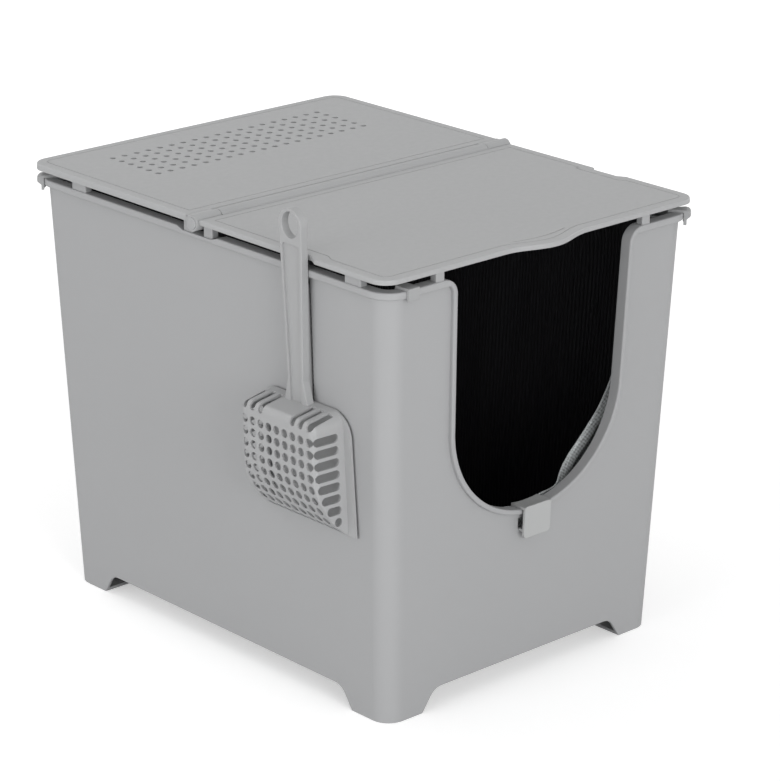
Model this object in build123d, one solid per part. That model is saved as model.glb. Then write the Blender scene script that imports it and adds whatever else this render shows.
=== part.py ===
"""Front-entry litter box with a flip-open lid, a fabric liner and a hanging scoop.

Units are millimetres.  +X is the right side seen from the front, the front faces -Y, +Z is up.
The bucket is modelled about its own centre line with its feet on z = 0.  At the end every piece
moves by the same amount, so that the origin is the middle of the whole object's footprint.
"""
import os
from math import atan, cos, degrees, pi, sqrt

from build123d import *

# ---------------------------------------------------------------- bucket
foot_half_width = 177.8      # outer half sizes of the bucket on the floor plane
foot_half_length = 237.8
wall_flare = 0.03784         # how far a wall leans out per millimetre of height
wall_corner_r = 20.0
wall_t = 3.0
floor_underside_z = 22.0     # top of the arches between the feet
floor_t = 3.0
foot_pad_t = 3.0
side_foot_length = 48.8      # length of a foot along the side wall, on the floor
end_foot_length = 44.8       # the same along the front or rear wall
side_arch_lean = 14.0        # how much narrower an arch is at its top, at each end
end_arch_lean = 15.0
arch_fillet_r = 16.0

rim_top_z = 429.5
rim_h = 7.0                  # height of the bead round the rim
entry_bead_w = 5.0           # width of the same bead round the entry
rim_out = 4.5                # how far the bead stands proud of the wall
rim_depth = 12.0             # bead face to the inner edge of the flange
rim_edge_r = 1.5
hinge_dip = 3.0              # the rim is this much lower under the lid hinge
dip_ramp = 9.0               # length of the slope at each end of that dip

entry_top_half = 111.5       # half width of the entry where the flare begins
entry_low_half = 108.0       # half width where the rounded bottom begins
entry_low_z = 281.0
entry_bottom_z = 176.5
entry_flare_r = 16.0

post_h = 8.8                 # posts on the rim carry the lid and leave ventilation windows
post_depth = 8.0
post_edge_r = 1.0
side_post_w = 21.5
front_side_post_in = 26.3    # side posts' middles, in from the foot plane's front and rear
rear_side_post_in = 49.8
end_post_w = 10.5
end_post_in = 44.8           # end posts' middles, in from the foot plane's sides
cradle_post_w = 12.5

hanger_slot_back = 97.8      # slot in each side wall for the scoop, behind the front feet
hanger_slot_w = 21.0
hanger_slot_top_down = 9.5   # the slot's top and bottom, down from the rim
hanger_slot_low_down = 131.5
hanger_slot_r = 3.0

# ---------------------------------------------------------------- lid
lid_side_overhang = 3.44772  # lid edge beyond the rim bead
lid_rear_overhang = 2.44772
lid_front_overhang = 0.44772
rear_lid_h = 6.4
front_lid_h = 4.9
lid_rest_gap = 0.3
lid_skin_t = 2.6
lid_skirt_t = 2.6
lid_corner_r = 18.0
lid_edge_r = 1.6
border_inset = 10.0
border_w = 0.9
border_deep = 0.5

vent_r = 3.1
vent_columns = 19
vent_rows = 6
vent_pitch_x = 14.9
vent_pitch_y = 14.5
vent_rear_margin = 82.5      # rear lid edge to the middle of the vent field

hinge_y = 5.0
hinge_lift = 0.4             # hinge axis above the lid's underside
hinge_r = 8.0
hinge_gap = 0.5
knuckle_out = 2.0            # knuckle's end beyond the lid edge
knuckle_length = 30.5
pin_r = 3.0
pin_bite = 12.0              # how far a pin reaches into the front lid's barrel
pin_running_gap = 0.06
pin_head_r = 6.0
pin_head_t = 1.5
barrel_bore_r = 5.0          # wider bore in the middle of the barrel, past the pins' ends
barrel_core_gap = 2.5

thumb_half_w = 52.5
thumb_out = 12.5
thumb_steps = 16
thumb_line_sag = 5.0         # shallow arc drawn on the lid behind the thumb lip
thumb_line_half = 34.0
thumb_line_back = 12.0

notch_rear_reach = 18.5      # notch in each side edge, to the rear and front of the handle
notch_front_reach = 17.0
notch_ramp = 9.0
notch_depth = 5.0
notch_r = 2.5

# ---------------------------------------------------------------- scoop
scoop_wall_gap = 2.0         # basket rim to the bucket wall
handle_bead_gap = 0.6        # handle back to the rim bead
handle_t = 8.0
handle_over_rim = 57.5       # top of the handle's ring above the rim
handle_ring_w = 31.0
handle_base_w = 21.0
handle_foot_spread = 5.0
ring_hole_w = 22.0
ring_hole_h = 25.0
handle_edge_r = 0.8
channel_lip = 2.8
channel_top_in = 1.0         # how much narrower the channel is under the ring
channel_deep = 2.0
basket_top_down = 126.5      # top of the basket below the rim
basket_h = 121.0             # down to the tip of the lip
basket_half_w_top = 54.0
basket_half_w_low = 57.5
basket_depth = 36.0
basket_draft_angle = 7.0
basket_corner_r = 14.0
basket_edge_r = 7.0
basket_t = 2.2
flange_out_top = 8.5         # flange beyond the basket's sides, against the wall
flange_out_low = 9.5
flange_corner_r = 25.0
flange_t = 2.0
hole_r = 4.15
hole_count = 9
hole_pitch_y = 11.16
hole_pitch_z = 11.75
hole_top_down = 22.0         # top of the basket to the first row of holes
bend_down = 51.0             # below this the front face curves back to the lip
bend_r = 86.4
side_slots = 8
side_slot_h = 8.4
side_slot_back = 8.0         # plain strip between the slots and the flange
side_slot_front = 2.0
shoulder_slots = 3
shoulder_slot_w = 6.6
slot_w_per_end_r = 2.1       # a slot's width over the radius of its ends
shoulder_slot_down = 11.5    # top of the basket to the shoulder slots' bottoms
hanger_rib_gap = 0.4
hanger_rib_reach = 2.0       # how far the rib reaches past the wall's outer face

# ---------------------------------------------------------------- liner, its hooks and its clip
liner_inset = 11.5           # wall's outer face to the liner
liner_t = 1.6
liner_lift = 0.3
liner_top_down = 8.5         # rim to the liner's edge
liner_corner_r = 14.0
liner_entry_margin = 2.0     # the liner's entry is cut this much wider than the bucket's

hook_w = 13.0
plain_hook_in = 25.55228     # plain hook's middle, in from the wall's outer face at the rim
hook_t = 2.6
hook_lip_h = 9.0
hook_tail_h = 30.0
hook_gap = 0.4
corner_lip_h = 12.0
hook_tab_out = 4.0           # the corner hook's finger tab beyond its lip
hook_tab_drop = 1.1          # fall of the tab's top from the bridge to its nose
hook_tab_root_h = 9.6
hook_tab_nose_h = 4.8

clip_half_w = 17.3
clip_bottom_down = 27.0      # clip's tab, down and up from the bottom of the entry
clip_top_up = 5.0
clip_stand_off = 9.0
clip_t = 2.5
clip_corner_r = 4.0
clip_tail_h = 14.0
clip_gap = 0.3
catch_slot_half_w = 17.0
catch_slot_top_down = 8.5    # catch slot below the bottom of the entry
catch_slot_h = 11.0

# ---------------------------------------------------------------- derived
flare_angle = degrees(atan(wall_flare))
flare_cos = cos(atan(wall_flare))
floor_z = floor_underside_z + floor_t
rim_half_width = foot_half_width + wall_flare * rim_top_z
rim_half_length = foot_half_length + wall_flare * rim_top_z
hanger_slot_y = hanger_slot_back - foot_half_length
side_arch_half = foot_half_length - side_foot_length
end_arch_half = foot_half_width - end_foot_length
hanger_slot_top_z = rim_top_z - hanger_slot_top_down
hanger_slot_low_z = rim_top_z - hanger_slot_low_down
post_top_z = rim_top_z + post_h
lid_low_z = post_top_z + lid_rest_gap
rear_lid_top_z = lid_low_z + rear_lid_h
front_lid_top_z = lid_low_z + front_lid_h
lid_half_width = rim_half_width + rim_out + lid_side_overhang
rear_edge_y = rim_half_length + rim_out + lid_rear_overhang
front_edge_y = -(rim_half_length + rim_out + lid_front_overhang)
hinge_z = lid_low_z + hinge_lift
knuckle_outer_x = lid_half_width + knuckle_out
knuckle_inner_x = knuckle_outer_x - knuckle_length
basket_top_z = rim_top_z - basket_top_down
basket_low_z = basket_top_z - basket_h
bend_z = basket_top_z - bend_down
liner_top_z = rim_top_z - liner_top_down
clip_bottom_z = entry_bottom_z - clip_bottom_down
clip_top_z = entry_bottom_z + clip_top_up
beyond = 1.0                 # how far a cutting shape runs past what it cuts
big = 3 * foot_half_length + rim_top_z


def half_width(z):
    """Outer half width of the bucket at height z."""
    return foot_half_width + wall_flare * z


def half_length(z):
    """Outer half length of the bucket at height z."""
    return foot_half_length + wall_flare * z


def flared_block(offset, z0, z1, corner_r):
    """Block between two heights whose walls stay `offset` outside the bucket's walls."""
    def side_view(half):
        low, high = half(z0) + offset, half(z1) + offset
        return make_face(Polyline((-low, z0), (low, z0), (high, z1), (-high, z1), close=True))

    block = extrude(Plane.XZ * side_view(half_width), big / 2, both=True)
    block &= extrude(Plane.YZ * side_view(half_length), big / 2, both=True)
    corners = [e for e in block.edges() if abs(e.tangent_at(0.5).Z) > 0.9]
    return fillet(corners, corner_r)


def beyond_wall(point):
    """Distance of a point outside the bucket's walls, round the corners too."""
    dx = max(abs(point.X) - half_width(point.Z) + wall_corner_r, 0)
    dy = max(abs(point.Y) - half_length(point.Z) + wall_corner_r, 0)
    return sqrt(dx * dx + dy * dy) - wall_corner_r


def front_wall_plane():
    """Plane in the front wall's outer face: x to the right, y up the wall, normal outwards."""
    return Plane(origin=(0, -half_length(0), 0), x_dir=(1, 0, 0), z_dir=(0, -1, -wall_flare))


def through_front(sketch):
    """Prism of a sketch drawn on the front view (x, z) that runs through the front wall only."""
    plane = Plane(origin=(0, -half_length(0) / 2, 0), x_dir=(1, 0, 0), z_dir=(0, -1, 0))
    return extrude(plane * sketch, half_length(0))


def right_wall_plane():
    """Plane in the right wall's outer face: x to the rear, y up the wall, normal outwards."""
    return Plane(origin=(half_width(0), 0, 0), x_dir=(0, 1, 0), z_dir=(1, 0, -wall_flare))


def up_wall(z):
    """Distance up a leaning wall that reaches height z."""
    return z / flare_cos


def wall_sketch(x, sketch):
    """Sketch of y and z set upright across the x axis."""
    return Plane(origin=(x, 0, 0), x_dir=(0, 1, 0), z_dir=(1, 0, 0)) * sketch


def both_sides(shape):
    """The shape and its mirror image in the middle plane."""
    return [shape, mirror(shape, Plane.YZ)]


# ================================================================ bucket
def entry_outline(grow=0):
    """Entry on the front view: round bottom, opening sides, corners flaring into the rim."""
    low_half, top_half = entry_low_half + grow, entry_top_half + grow
    flare_r = entry_flare_r - grow
    flare_z = rim_top_z - entry_flare_r
    flare_end = (top_half + flare_r, flare_z + flare_r)
    above = rim_top_z + 2 * entry_flare_r
    side = Line((low_half, entry_low_z), (top_half, flare_z))
    corner = RadiusArc((top_half, flare_z), flare_end, flare_r)
    rest = Polyline(flare_end, (flare_end[0], above), (0, above), (0, entry_low_z),
                    (low_half, entry_low_z))
    half = make_face(side.edges() + corner.edges() + rest.edges())
    bottom = Ellipse(low_half, entry_low_z - entry_bottom_z + grow)
    return half + mirror(half, Plane.YZ) + Pos(0, entry_low_z) * bottom


def arch_cut(half_span, lean, reach, turn):
    """Prism that opens the arch between two feet through both opposite walls."""
    top_half = half_span - lean
    foot_half = half_span + lean * floor_t / floor_underside_z
    face = make_face(Polyline((-foot_half, -floor_t), (-top_half, floor_underside_z),
                              (top_half, floor_underside_z), (foot_half, -floor_t), close=True))
    face = fillet([v for v in face.vertices() if v.Y > 0], arch_fillet_r)
    return Rot(0, 0, turn) * (Plane.XZ * extrude(face, reach, both=True))


def make_bucket():
    """Tapered tub on four feet, with a bead round the rim and down round the entry."""
    tub = flared_block(0, 0, rim_top_z, wall_corner_r)
    tub -= flared_block(-wall_t, floor_z, rim_top_z + beyond, wall_corner_r - wall_t)
    under = flared_block(-wall_t, -beyond, floor_underside_z, wall_corner_r - wall_t)
    arch_w = 2 * side_arch_half
    arch_x = 2 * end_arch_half
    pads = Pos(0, 0, foot_pad_t / 2) * (
        Box(big, big, foot_pad_t) - Box(arch_x, big, foot_pad_t) - Box(big, arch_w, foot_pad_t))
    tub -= under - pads
    tub -= arch_cut(end_arch_half, end_arch_lean, rim_half_length, 0)
    tub -= arch_cut(side_arch_half, side_arch_lean, rim_half_width, 90)

    low = entry_bottom_z - 2 * rim_h
    bead = flared_block(rim_out, low, rim_top_z, wall_corner_r + rim_out)
    bead -= flared_block(rim_out - rim_depth, low - beyond, rim_top_z + beyond,
                         wall_corner_r + rim_out - rim_depth)
    round_top = Pos(0, 0, rim_top_z - rim_h / 2) * Box(big, big, rim_h)
    down_entry = through_front(entry_outline(entry_bead_w))
    down_entry -= Pos(0, 0, rim_top_z + big / 2) * Box(big, big, big)
    tub += bead & (round_top + down_entry)
    tub -= through_front(entry_outline())
    bead_edges = [e for e in tub.edges() if e.length > 1.01 * max(rim_h, entry_bead_w)
                  and abs(beyond_wall(e.position_at(0.5)) - rim_out) < rim_edge_r / 5]
    tub = fillet(bead_edges, rim_edge_r)

    slot_h = hanger_slot_top_z - hanger_slot_low_z
    slot = Pos(hanger_slot_y, up_wall((hanger_slot_top_z + hanger_slot_low_z) / 2))
    slot *= RectangleRounded(hanger_slot_w, slot_h, hanger_slot_r)
    slot = extrude(right_wall_plane() * slot, 2 * wall_t, both=True)
    seat = hinge_r + hinge_gap + cradle_post_w
    ramp = 2 * dip_ramp
    dip = Pos(hinge_y, rim_top_z) * make_face(Polyline(
        (-seat, -hinge_dip), (seat, -hinge_dip), (seat + ramp, hinge_dip), (-seat - ramp, hinge_dip),
        close=True))
    dip = extrude(wall_sketch(rim_half_width, dip), 2 * rim_depth, both=True)
    tub -= both_sides(slot) + both_sides(dip)
    catch_z = entry_bottom_z - catch_slot_top_down - catch_slot_h / 2
    catch = Pos(0, catch_z) * Rectangle(2 * catch_slot_half_w, catch_slot_h)
    return tub - through_front(catch)


def make_posts(tub):
    """Posts that stand on the rim, by name: on the sides, at both ends and beside the hinge."""
    side_x = rim_half_width + rim_out - post_depth / 2 - rim_edge_r
    end_y = rim_half_length + rim_out - post_depth / 2 - rim_edge_r
    end_x = foot_half_width - end_post_in
    front_y = front_side_post_in - foot_half_length
    rear_y = foot_half_length - rear_side_post_in
    cradle = hinge_r + hinge_gap + cradle_post_w / 2
    root_z = rim_top_z - 2 * hinge_dip
    posts = {}
    for side, x_sign in (("left", -1), ("right", 1)):
        places = {
            f"rim_post_front_{side}_side": (side_x, front_y, post_depth, side_post_w),
            f"rim_post_rear_{side}_side": (side_x, rear_y, post_depth, side_post_w),
            f"rim_post_hinge_front_{side}": (side_x, hinge_y - cradle, post_depth, cradle_post_w),
            f"rim_post_hinge_rear_{side}": (side_x, hinge_y + cradle, post_depth, cradle_post_w),
            f"rim_post_front_{side}": (end_x, -end_y, end_post_w, post_depth),
            f"rim_post_rear_{side}": (end_x, end_y, end_post_w, post_depth),
        }
        for name, (x, y, w, length) in places.items():
            post = Pos(x_sign * x, y, (post_top_z + root_z) / 2) * Box(
                w, length, post_top_z - root_z)
            posts[name] = fillet(post.edges().filter_by(Axis.Z), post_edge_r) - tub
    return posts


# ================================================================ lid
def lid_panel(outline, top_z):
    """Lid half as a thin skin with a skirt round it, rounded outside and grooved on top."""
    panel = Pos(0, 0, lid_low_z) * extrude(outline(0), top_z - lid_low_z)
    panel = fillet(panel.faces().sort_by(Axis.Z)[-1].edges(), lid_edge_r)
    hollow_h = top_z - lid_skin_t - lid_low_z
    panel -= Pos(0, 0, lid_low_z) * extrude(outline(lid_skirt_t), hollow_h)
    line = outline(border_inset) - outline(border_inset + border_w)
    return panel - Pos(0, 0, top_z - border_deep) * extrude(line, border_deep)


def rear_outline(inset):
    """Outline of the rear lid half, moved in all round by `inset`."""
    near, far = hinge_y + hinge_r + hinge_gap + inset, rear_edge_y - inset
    outline = Pos(0, (near + far) / 2) * Rectangle(2 * (lid_half_width - inset), far - near)
    return fillet([v for v in outline.vertices() if v.Y > hinge_y + far / 2], lid_corner_r - inset)


def front_outline(inset):
    """Outline of the front lid half: thumb lip on the free edge and a notch in each side."""
    near, far = hinge_y - hinge_r - hinge_gap - inset, front_edge_y + inset
    outline = Pos(0, (near + far) / 2) * Rectangle(2 * (lid_half_width - inset), near - far)
    outline = fillet([v for v in outline.vertices() if v.Y < far / 2], lid_corner_r - inset)
    xs = [thumb_half_w * (2 * i / thumb_steps - 1) for i in range(thumb_steps + 1)]
    wave = [(x, far - thumb_out * (1 + cos(pi * x / thumb_half_w)) / 2) for x in xs]
    lip = Spline(*wave, tangents=[(1, 0), (1, 0)])
    chord = Polyline(wave[-1], (thumb_half_w, far + beyond), (-thumb_half_w, far + beyond), wave[0])
    outline += make_face(lip.edges() + chord.edges())
    deep_x, out_x = lid_half_width - notch_depth - inset, lid_half_width + beyond
    rear_y = hanger_slot_y + notch_rear_reach + inset
    front_y = hanger_slot_y - notch_front_reach - inset
    notch = make_face(Polyline(
        (out_x, rear_y), (deep_x, rear_y), (deep_x, front_y),
        (deep_x + notch_depth, front_y - notch_ramp), (out_x, front_y - notch_ramp), close=True))
    notch = fillet([v for v in notch.vertices() if v.X < deep_x + notch_depth / 2], notch_r)
    return outline - both_sides(notch)


def x_cylinder(r, x0, x1):
    """Round bar along the hinge axis between two x positions."""
    return Pos((x0 + x1) / 2, hinge_y, hinge_z) * Rot(0, 90, 0) * Cylinder(r, abs(x1 - x0))


def make_rear_lid():
    """Rear lid half with its vent field; its two knuckles are pieces of their own."""
    lid = lid_panel(rear_outline, rear_lid_top_z)
    holes = Pos(0, rear_edge_y - vent_rear_margin, rear_lid_top_z) * GridLocations(
        vent_pitch_x, vent_pitch_y, vent_columns, vent_rows)
    return lid - [place * Cylinder(vent_r, 3 * lid_skin_t) for place in holes]


def make_knuckle(panel):
    """Right end knuckle of the hinge, with the web that joins it to the rear lid half."""
    near = hinge_y + hinge_r + hinge_gap
    web = Pos((lid_half_width + knuckle_inner_x) / 2, near - hinge_r / 4, lid_low_z + rear_lid_h / 2)
    web *= Box(lid_half_width - knuckle_inner_x, hinge_r, rear_lid_h)
    bore = x_cylinder(pin_r, knuckle_inner_x - beyond, knuckle_outer_x + beyond)
    return x_cylinder(hinge_r, knuckle_inner_x, knuckle_outer_x) + web - bore - panel


def make_front_lid():
    """Front lid half that flips up: thumb lip, side notches and a shallow line behind the lip."""
    lid = lid_panel(front_outline, front_lid_top_z)
    half = thumb_line_half
    arc = ThreePointArc((-half, 0), (0, -thumb_line_sag), (half, 0))
    back = ThreePointArc((-half, border_w), (0, border_w - thumb_line_sag), (half, border_w))
    ends = [Line(arc @ 0, back @ 0), Line(arc @ 1, back @ 1)]
    mark = make_face(Wire([arc, back] + ends))
    return lid - Pos(0, front_edge_y + thumb_line_back, front_lid_top_z - border_deep) * extrude(
        mark, border_deep)


def make_barrel(panel):
    """Long hinge barrel of the front lid half, with the web that joins it to the panel."""
    near = hinge_y - hinge_r - hinge_gap
    end = knuckle_inner_x - hinge_gap
    web = Pos(0, near + hinge_r / 4, lid_low_z + front_lid_h / 2) * Box(2 * end, hinge_r, front_lid_h)
    barrel = x_cylinder(hinge_r, -end, end) + web
    barrel -= x_cylinder(pin_r + pin_running_gap, -end - beyond, end + beyond)
    core_end = knuckle_inner_x - pin_bite - barrel_core_gap
    return barrel - x_cylinder(barrel_bore_r, -core_end, core_end) - panel


def make_pin():
    """Right-hand hinge pin: a headed stub through the knuckle into the barrel."""
    shank = x_cylinder(pin_r, knuckle_inner_x - pin_bite, knuckle_outer_x)
    head = x_cylinder(pin_head_r, knuckle_outer_x, knuckle_outer_x + pin_head_t)
    rim = [e for e in head.edges() if e.center().X > knuckle_outer_x + pin_head_t / 2
           and e.geom_type == GeomType.CIRCLE]
    return shank + fillet(rim, pin_head_t / 2)


# ================================================================ scoop
# The scoop is drawn flat against an upright wall: x runs away from the wall, y along it, z up.
def scoop_face_x():
    """How far the basket's upright face stands from the wall."""
    return scoop_wall_gap + basket_depth


def handle_back_x():
    """How far the handle's back stands from the wall: just clear of the rim bead."""
    return rim_out + handle_bead_gap


def basket_outline(half_top, half_low, top, low, corner_r):
    """Basket outline on the wall's face, wider at the lip, with rounded shoulders."""
    outline = make_face(Polyline((-half_low, low), (half_low, low), (half_top, top),
                                 (-half_top, top), close=True))
    return fillet([v for v in outline.vertices() if v.Y > (low + top) / 2], corner_r)


def front_curve_x(z):
    """Distance of the basket's front face from the wall at height z."""
    drop = max(bend_z - z, 0)
    return scoop_face_x() - bend_r + sqrt(bend_r ** 2 - drop ** 2)


def front_keep(shrink):
    """Everything behind the basket's curved front face, moved in by `shrink`."""
    r = bend_r - shrink
    centre_x = scoop_face_x() - bend_r
    disc = Pos(centre_x, bend_z) * Circle(r)
    above = Pos(centre_x + r - big / 2, bend_z + big / 2) * Rectangle(big, big)
    plane = Plane(origin=(0, 0, 0), x_dir=(1, 0, 0), z_dir=(0, -1, 0))
    return extrude(plane * (disc + above), big, both=True)


def basket_hull(shrink, start_x, depth):
    """Tapering block of the basket; the shrunken one hollows it and keeps an even wall."""
    outline = basket_outline(basket_half_w_top - shrink, basket_half_w_low - shrink,
                             basket_top_z - shrink, basket_low_z - basket_depth,
                             basket_corner_r - shrink)
    hull = extrude(wall_sketch(start_x, outline), depth, taper=basket_draft_angle)
    front = hull.faces().sort_by(Axis.X)[-1]
    upper = [e for e in front.edges() if e.center().Z > basket_low_z]
    return fillet(upper, basket_edge_r - shrink) & front_keep(shrink)


def make_basket():
    """Open-backed sieve: round holes in front, slots in both sides and over both shoulders."""
    hollow = basket_hull(basket_t, scoop_wall_gap - beyond, basket_depth - basket_t + beyond)
    flange = basket_outline(basket_half_w_top + flange_out_top, basket_half_w_low + flange_out_low,
                            basket_top_z, basket_low_z, flange_corner_r)
    flange = extrude(wall_sketch(scoop_wall_gap, flange), flange_t)
    basket = basket_hull(0, scoop_wall_gap, basket_depth)
    basket -= Pos(0, 0, basket_low_z - big / 2) * Box(big, big, big)
    basket = basket + (flange & front_keep(0)) - hollow
    rows = [basket_top_z - hole_top_down - i * hole_pitch_z for i in range(hole_count)]
    columns = [(i - (hole_count - 1) / 2) * hole_pitch_y for i in range(hole_count)]
    cuts = [Pos(scoop_face_x(), y, z) * Rot(0, 90, 0) * Cylinder(hole_r, 2 * basket_depth)
            for z in rows for y in columns]
    back = scoop_wall_gap + side_slot_back
    side_in = columns[-1] + hole_r / 2
    for z in rows[:side_slots]:
        length = front_curve_x(z) - side_slot_front - back
        slot = RectangleRounded(length, side_slot_h, min(length, side_slot_h) / slot_w_per_end_r)
        plane = Plane(origin=(back + length / 2, side_in, z), x_dir=(-1, 0, 0), z_dir=(0, 1, 0))
        slot = extrude(plane * slot, basket_half_w_low)
        cuts += [slot, mirror(slot, Plane.XZ)]
    for y in columns[-shoulder_slots:]:
        slot = Pos(scoop_face_x(), y, basket_top_z - shoulder_slot_down + basket_depth / 2) * Box(
            2 * (basket_depth - side_slot_back), shoulder_slot_w, basket_depth)
        slot = fillet(slot.edges().filter_by(Axis.X), shoulder_slot_w / slot_w_per_end_r)
        cuts += [slot, mirror(slot, Plane.XZ)]
    return basket - cuts


def make_handle():
    """Long flat handle: hanging ring on top, shallow channel in front, hanger rib behind."""
    ring_z = rim_top_z + handle_over_rim - handle_ring_w / 2
    foot_z = basket_top_z - 2 * basket_t
    neck_z = basket_top_z + 4 * handle_foot_spread
    ring_half, base_half = handle_ring_w / 2, handle_base_w / 2
    side = [(ring_half, ring_z), (base_half, neck_z),
            (base_half + handle_foot_spread, basket_top_z), (base_half + handle_foot_spread, foot_z)]
    other = [(-y, z) for y, z in reversed(side)]
    blank = make_face(Polyline(*side, *other, close=True)) + Pos(0, ring_z) * Circle(ring_half)
    hole = Pos(0, ring_z) * Ellipse(ring_hole_w / 2, ring_hole_h / 2)
    handle = extrude(wall_sketch(handle_back_x(), blank - hole), handle_t)
    handle = fillet(handle.faces().sort_by(Axis.X)[-1].edges(), handle_edge_r)
    top_z = ring_z - ring_hole_h / 2 - 2 * channel_lip
    top_half = ring_half - channel_lip - channel_top_in
    low_half = base_half - channel_lip
    channel = make_face(Polyline((top_half, top_z), (low_half, neck_z), (low_half, foot_z),
                                 (-low_half, foot_z), (-low_half, neck_z), (-top_half, top_z),
                                 close=True))
    channel = fillet([v for v in channel.vertices() if v.Y > neck_z + channel_lip], channel_lip)
    channel_x = handle_back_x() + handle_t - channel_deep
    handle -= extrude(wall_sketch(channel_x, channel), channel_deep)
    rib_h = hanger_slot_top_z - basket_top_z - 2 * hanger_slot_r
    rib_w = hanger_slot_w - 2 * hanger_rib_gap - 2 * hanger_slot_r
    rib_depth = handle_back_x() + hanger_rib_reach
    rib = Pos(handle_back_x() - rib_depth / 2, 0, basket_top_z + rib_h / 2) * Box(
        rib_depth + beyond, rib_w, rib_h)
    return handle + rib


def make_scoop():
    """Scoop on the left wall: drawn against an upright wall, then leaned to the wall's flare."""
    scoop = make_basket() + make_handle()
    leaned = Rot(0, -flare_angle, 0) * mirror(scoop, Plane.YZ)
    return Pos(-half_width(0), hanger_slot_y, 0) * leaned


# ================================================================ liner, hooks and clip
def make_liner():
    """Soft tub that lines the bucket, cut down in front to follow the entry."""
    low = floor_z + liner_lift
    liner = flared_block(-liner_inset, low, liner_top_z, liner_corner_r)
    liner -= flared_block(-liner_inset - liner_t, low + liner_t, liner_top_z + beyond,
                          liner_corner_r - liner_t)
    return liner - through_front(entry_outline(liner_entry_margin))


def make_hook(x):
    """Hook over the front rim: tail inside against the flange, bridge, lip outside."""
    outer = -(rim_half_length + rim_out) - hook_gap
    inner = -(rim_half_length + rim_out - rim_depth) + hook_gap
    top = rim_top_z + hook_t
    reach = outer - hook_t
    lip_low = rim_top_z - hook_lip_h
    bridge = make_face(Polyline((reach, top), (inner + hook_t, top), (inner + hook_t, rim_top_z),
                                (outer, rim_top_z), (outer, lip_low), (reach, lip_low), close=True))
    bridge = extrude(wall_sketch(x, bridge), hook_w / 2, both=True)
    edges = [e for e in bridge.edges().filter_by(Axis.X) if e.center().Y < outer - hook_t / 2]
    bridge = fillet(edges, hook_t / 3)
    corner_r = wall_corner_r + rim_out - rim_depth
    tail_z = rim_top_z - hook_tail_h
    tail = flared_block(rim_out - rim_depth - hook_gap, tail_z, rim_top_z, corner_r)
    tail -= flared_block(rim_out - rim_depth - hook_gap - hook_t, tail_z, rim_top_z, corner_r)
    tail &= Pos(x, -half_length(0), rim_top_z) * Box(hook_w, 2 * wall_corner_r, 2 * hook_tail_h)
    return bridge + tail


def make_corner_hook():
    """Hook over the front right corner: one section turned about the corner's upright axis."""
    face_r = wall_corner_r + rim_out
    outer, inner = face_r + hook_gap, face_r - rim_depth - hook_gap
    reach, back = outer + hook_t, inner - hook_t
    top, tail_z = rim_top_z + hook_t, rim_top_z - hook_tail_h
    section = make_face(Polyline(
        (back, top), (reach, top), (reach, rim_top_z - corner_lip_h),
        (outer, rim_top_z - corner_lip_h), (outer, rim_top_z), (inner, rim_top_z), (inner, tail_z),
        (back, tail_z), close=True))
    nose, nose_z = reach + hook_tab_out, top - hook_tab_drop
    tab = make_face(Polyline((outer, top), (reach, top), (nose, nose_z),
                             (nose, nose_z - hook_tab_nose_h), (reach, top - hook_tab_root_h),
                             (outer, top - hook_tab_root_h), close=True))
    tab = fillet([v for v in tab.vertices() if v.X > nose - hook_tab_out / 2], hook_tab_nose_h / 3)
    turn = degrees(hook_w / face_r)
    hook = revolve(Plane.XZ * (section + tab), Axis.Z, turn)
    corner_x = rim_half_width - wall_corner_r
    corner_y = rim_half_length - wall_corner_r
    return Pos(corner_x, -corner_y, 0) * Rot(0, 0, -45 - turn / 2) * hook


def make_clip():
    """Clip on the entry's bottom: tab outside, saddle over the flange, tail inside."""
    wall = front_wall_plane()
    top, low = up_wall(clip_top_z), up_wall(clip_bottom_z)
    tab_face = Pos(0, (top + low) / 2) * RectangleRounded(2 * clip_half_w, top - low, clip_corner_r)
    tab = extrude(wall.offset(clip_stand_off - clip_t) * tab_face, clip_t)
    foot = Pos(0, low + clip_corner_r + clip_t) * Rectangle(2 * clip_half_w - clip_corner_r, clip_t)
    foot = extrude(wall.offset(clip_gap) * foot, clip_stand_off - clip_gap - clip_t / 2)
    over_flange = entry_outline(-clip_gap) - entry_outline(-clip_gap - clip_t)
    over_flange &= Pos(0, clip_top_z) * Rectangle(2 * clip_half_w, 6 * clip_t)
    back = rim_out - rim_depth - clip_gap
    between = flared_block(clip_stand_off, clip_bottom_z, rim_top_z, wall_corner_r)
    between -= flared_block(back - clip_t, clip_bottom_z, rim_top_z, wall_corner_r)
    saddle = through_front(over_flange) & between
    tail_z = entry_bottom_z + clip_t
    tail = Pos(0, tail_z - clip_tail_h / 2) * Rectangle(2 * clip_half_w, clip_tail_h)
    behind = flared_block(back, clip_bottom_z, rim_top_z, wall_corner_r)
    behind -= flared_block(back - clip_t, clip_bottom_z, rim_top_z, wall_corner_r)
    tail = through_front(tail) & behind
    return tab + foot + saddle + tail


# ================================================================ build
bucket = make_bucket()
rear_lid = make_rear_lid()
front_lid = make_front_lid()
pin = make_pin()
knuckle = make_knuckle(rear_lid)
tabbed_hook = make_corner_hook()
plain_hook = make_hook(rim_half_width - plain_hook_in)
half_turn = Rot(0, 0, 180)

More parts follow.
